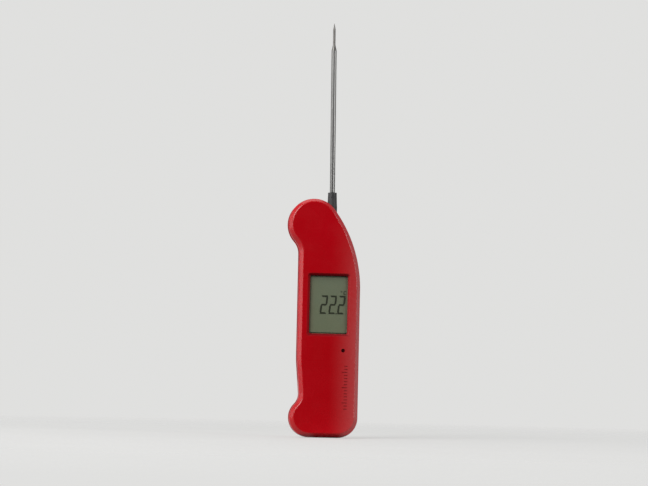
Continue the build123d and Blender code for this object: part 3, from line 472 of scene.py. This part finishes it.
def dress_pieces():
    """Builds every slot's material and puts it on the CAD pieces of that slot."""
    looks = {slot: build(slot + "_m", **settings)
             for slot, (build, settings) in SLOT_LOOKS.items()}
    slot_of = {part["node"]: part["material_slot"] for part in FRAME["record"]["subparts"]}
    for name, piece in FRAME["nodes"].items():
        slot = slot_of.get(name)
        if slot in looks:
            for holder in piece.material_slots:
                holder.link = "OBJECT"
                holder.material = looks[slot]


# ------------------------------------------------------------------ display figures
# outlines are lists of (x, z) in millimetres

INK_FRONT, INK_BACK = -7.27, -7.205     # depths in y
LEAN = math.tan(math.radians(6.2))
FIGURE_COUNT = 3
FIRST_X, FIGURE_PITCH = -6.27, 5.63
FIGURE_Z = 79.05
HEIGHT, WIDTH = 11.95, 4.35
STROKE = 1.16
HALF = STROKE / 2
CORNER = STROKE * 0.42                  # rounding of the top and bottom bars
OUTER_GAP, MIDDLE_GAP, UPRIGHT_GAP = 0.05, 0.30, 0.16

DECIMAL_POINT = [(4.05, 78.95), (4.85, 78.95), (4.93, 79.75), (4.13, 79.75)]

RING_X, RING_Z = 7.68, 93.62
RING_SIDES = 20

C_X, C_Z = 8.90, 91.55
C_WIDTH, C_HEIGHT, C_STROKE, C_CORNER = 1.55, 2.4, 0.48, 0.35


def leaning(outline, left, bottom):
    return [(left + x + z * LEAN, bottom + z) for x, z in outline]


def middle_bar(z):
    """Level bar with mitred ends."""
    left, right = MIDDLE_GAP, WIDTH - MIDDLE_GAP
    return [(left, z), (left + HALF, z + HALF), (right - HALF, z + HALF),
            (right, z), (right - HALF, z - HALF), (left + HALF, z - HALF)]


def outer_bar(z, side):
    """Top (side 1) or bottom (side -1) bar, full width outside with cut corners."""
    outside, inside = z + side * HALF, z - side * HALF
    left, right = OUTER_GAP, WIDTH - OUTER_GAP
    nick = CORNER * 0.35
    taper = STROKE - CORNER * 0.55
    return [(left, outside - side * CORNER), (left + nick, outside - side * nick),
            (left + CORNER, outside), (right - CORNER, outside),
            (right - nick, outside - side * nick), (right, outside - side * CORNER),
            (right - taper, inside), (left + taper, inside)]


def upright_bar(x, low, high):
    low, high = low + UPRIGHT_GAP, high - UPRIGHT_GAP
    return [(x, low), (x + HALF, low + HALF), (x + HALF, high - HALF),
            (x, high), (x - HALF, high - HALF), (x - HALF, low + HALF)]


def figure_two():
    """Lit segments of a seven-segment 2."""
    middle = HEIGHT / 2
    return [outer_bar(HEIGHT - HALF, side=1), middle_bar(middle), outer_bar(HALF, side=-1),
            upright_bar(WIDTH - HALF, middle, HEIGHT - HALF), upright_bar(HALF, HALF, middle)]


def degree_ring():
    def oval(radius_x, radius_z):
        angles = [i * math.tau / RING_SIDES for i in range(RING_SIDES)]
        return [(RING_X + radius_x * math.cos(angle), RING_Z + radius_z * math.sin(angle))
                for angle in angles]

    outer, inner = oval(0.54, 0.50), oval(0.20, 0.20)
    return [[outer[i - 1], outer[i], inner[i], inner[i - 1]]
            for i in [*range(1, RING_SIDES), 0]]


def letter_c():
    return [(0, C_CORNER), (C_CORNER, 0), (C_WIDTH, 0), (C_WIDTH, C_STROKE),
            (C_STROKE, C_STROKE), (C_STROKE, C_HEIGHT - C_STROKE),
            (C_WIDTH, C_HEIGHT - C_STROKE), (C_WIDTH, C_HEIGHT),
            (C_CORNER, C_HEIGHT), (0, C_HEIGHT - C_CORNER)]


def add_prism(bm, outline):
    """A closed prism of the outline through the depth of the ink."""
    front, back = ([bm.verts.new((x * MM, y * MM, z * MM)) for x, z in outline]
                   for y in (INK_FRONT, INK_BACK))
    bm.faces.new(front)
    bm.faces.new(back[::-1])
    for i in range(len(outline)):
        j = (i + 1) % len(outline)
        bm.faces.new((front[j], front[i], back[i], back[j]))


def add_object(name, bm):
    mesh = bpy.data.meshes.new(name)
    bm.to_mesh(mesh)
    bm.free()
    item = bpy.data.objects.new(name, mesh)
    SCENE.collection.objects.link(item)
    return item


def build_display_figures():
    """Three figures, a decimal point before the last, and a degree ring and C above it."""
    outlines = [leaning(bar, FIRST_X + k * FIGURE_PITCH, FIGURE_Z)
                for k in range(FIGURE_COUNT) for bar in figure_two()]
    outlines += [DECIMAL_POINT, *degree_ring(), leaning(letter_c(), C_X, C_Z)]
    bm = bmesh.new()
    for outline in outlines:
        add_prism(bm, outline)
    bmesh.ops.remove_doubles(bm, verts=bm.verts, dist=1e-8)
    bmesh.ops.recalc_face_normals(bm, faces=bm.faces)
    figures = add_object("display_figures", bm)
    figures.data.materials.append(display_ink("display_ink_m"))
    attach(figures, "body")


# ------------------------------------------------------------------ stage

BACKDROP = rgb(0.745, 0.745, 0.735)

# name, place, point it aims at, (width, height), power in watts
LIGHTS = (
    ("key", (-0.95, -0.95, 0.95), (0, 0, 0.13), (0.9, 0.9), 19.5),
    ("fill_right", (0.95, -0.80, 0.45), (0, 0, 0.10), (0.36, 0.6), 4.2),
    ("strip_left", (-0.78, -0.06, 0.22), (0, 0, 0.15), (0.42, 1.0), 2.3),
    ("strip_right", (0.78, 0.16, 0.22), (0, 0, 0.15), (0.24, 1.0), 0.45),
    ("top", (0, 0.30, 1.5), (0, 0.1, 0), (1.4, 1.4), 5.0),
)


def add_light(name, place, aim, size, power):
    light = bpy.data.lights.new(name, "AREA")
    light.shape = "RECTANGLE"
    light.size, light.size_y = size
    light.energy = power
    light.spread = math.pi
    lamp = bpy.data.objects.new(name, light)
    SCENE.collection.objects.link(lamp)
    lamp.location = place
    lamp.rotation_mode = "QUATERNION"
    lamp.rotation_quaternion = (Vector(aim) - Vector(place)).to_track_quat("-Z", "Y")
    lamp.visible_camera = False


def floor_material():
    """Pale floor that fades into the background and is a dark card in reflections."""
    mat = material("floor_m")
    broad = mat.noise(scale=9, detail=4, rough=0.55)
    fine = mat.noise(scale=700, rough=0.6)
    color = mat.mix(mat.span(broad), rgb(0.66, 0.66, 0.65), rgb(0.69, 0.69, 0.68))
    surface = mat.principled(Base_Color=color, Roughness=mat.span(fine, to=(0.55, 0.7)),
                             Normal=mat.bump(fine, strength=0.05, distance=0.0002),
                             Specular_IOR_Level=0.2)
    rays = mat.outputs("LightPath")
    camera_ray, glossy_ray = rays["Is Camera Ray"], rays["Is Glossy Ray"]
    # an even glow, seen by the camera only, keeps the tone level with the background
    glow = mat.node("Emission", 0, {"Color": BACKDROP})
    seen = mat.mix_shader(mat.times(camera_ray, 0.55), surface, glow)
    radius = mat.node("VectorMath", "Value", {0: mat.coords["Object"]}, operation="LENGTH")
    faded = mat.mix_shader(mat.span(radius, over=(0.16, 0.70)), seen,
                           mat.node("BsdfTransparent", 0))
    # the dark card doesn't veil the face; reflections see it paler to the sides
    ahead = mat.math("MAXIMUM", mat.times(mat.axis("Y"), -1.0), 0.01)
    aside = mat.math("DIVIDE", mat.math("ABSOLUTE", mat.axis("X")), ahead)
    pale = mat.times(mat.span(aside, over=(0.70, 1.15)), glossy_ray)
    card = mat.node("Emission", 0, {"Color": rgb(1, 1, 0.98),
                                    "Strength": mat.math("MULTIPLY_ADD", pale, 0.42, 0.03)})
    front = mat.times(mat.span(mat.axis("Y"), over=(0, -0.035)),
                      mat.math("SUBTRACT", 1.0, camera_ray))
    card_share = mat.math("MAXIMUM", glossy_ray, mat.times(front, 0.9))
    block = mat.finish(mat.mix_shader(card_share, faded, card))
    block.cycles.emission_sampling = "NONE"
    return block


def build_floor():
    bm = bmesh.new()
    bmesh.ops.create_grid(bm, x_segments=24, y_segments=24, size=6.0)
    floor = add_object("floor", bm)
    floor.location = (0, 0, -0.0002)
    floor.data.materials.append(floor_material())


def build_world():
    """Pale to the camera, soft for diffuse light and dimmer in reflections and in front."""
    world = bpy.data.worlds.new("studio")
    SCENE.world = world
    sky = Graph(world, "ShaderNodeOutputWorld")
    world.cycles.sampling_method = "NONE"
    rays = sky.outputs("LightPath")
    ambient = sky.span(sky.axis("Y", sky.coords["Generated"]),
                       over=(-0.62, -0.10), to=(0.02, 0.55))

    def background(color, strength=None):
        return sky.node("Background", 0, {"Color": color, "Strength": strength})

    light = sky.mix_shader(rays["Is Glossy Ray"], background(grey(1), ambient),
                           background(grey(1), sky.times(ambient, 0.55)))
    sky.finish(sky.mix_shader(rays["Is Camera Ray"], light, background(BACKDROP)))


def build_camera():
    """Long lens in front, slightly left and low, looking slightly up."""
    camera = bpy.data.cameras.new("camera")
    camera.lens = 135
    camera.sensor_width = 36
    camera.clip_start, camera.clip_end = 0.05, 30
    holder = bpy.data.objects.new("camera", camera)
    SCENE.collection.objects.link(holder)
    rotation = Matrix(((0.99656912, -0.02673109, -0.078329),
                       (-0.07971844, -0.05562391, -0.99526426),
                       (0.02224753, 0.9980939, -0.05756403)))
    place = Matrix.Translation((-0.126480, -1.560058, 0.034761))
    holder.matrix_world = place @ rotation.to_4x4()
    SCENE.camera = holder


dress_pieces()
build_display_figures()
for light_settings in LIGHTS:
    add_light(*light_settings)
build_floor()
build_world()
SCENE.view_settings.view_transform = "Standard"
SCENE.view_settings.look = "None"
SCENE.view_settings.exposure = 0.0
SCENE.view_settings.gamma = 1.0
build_camera()
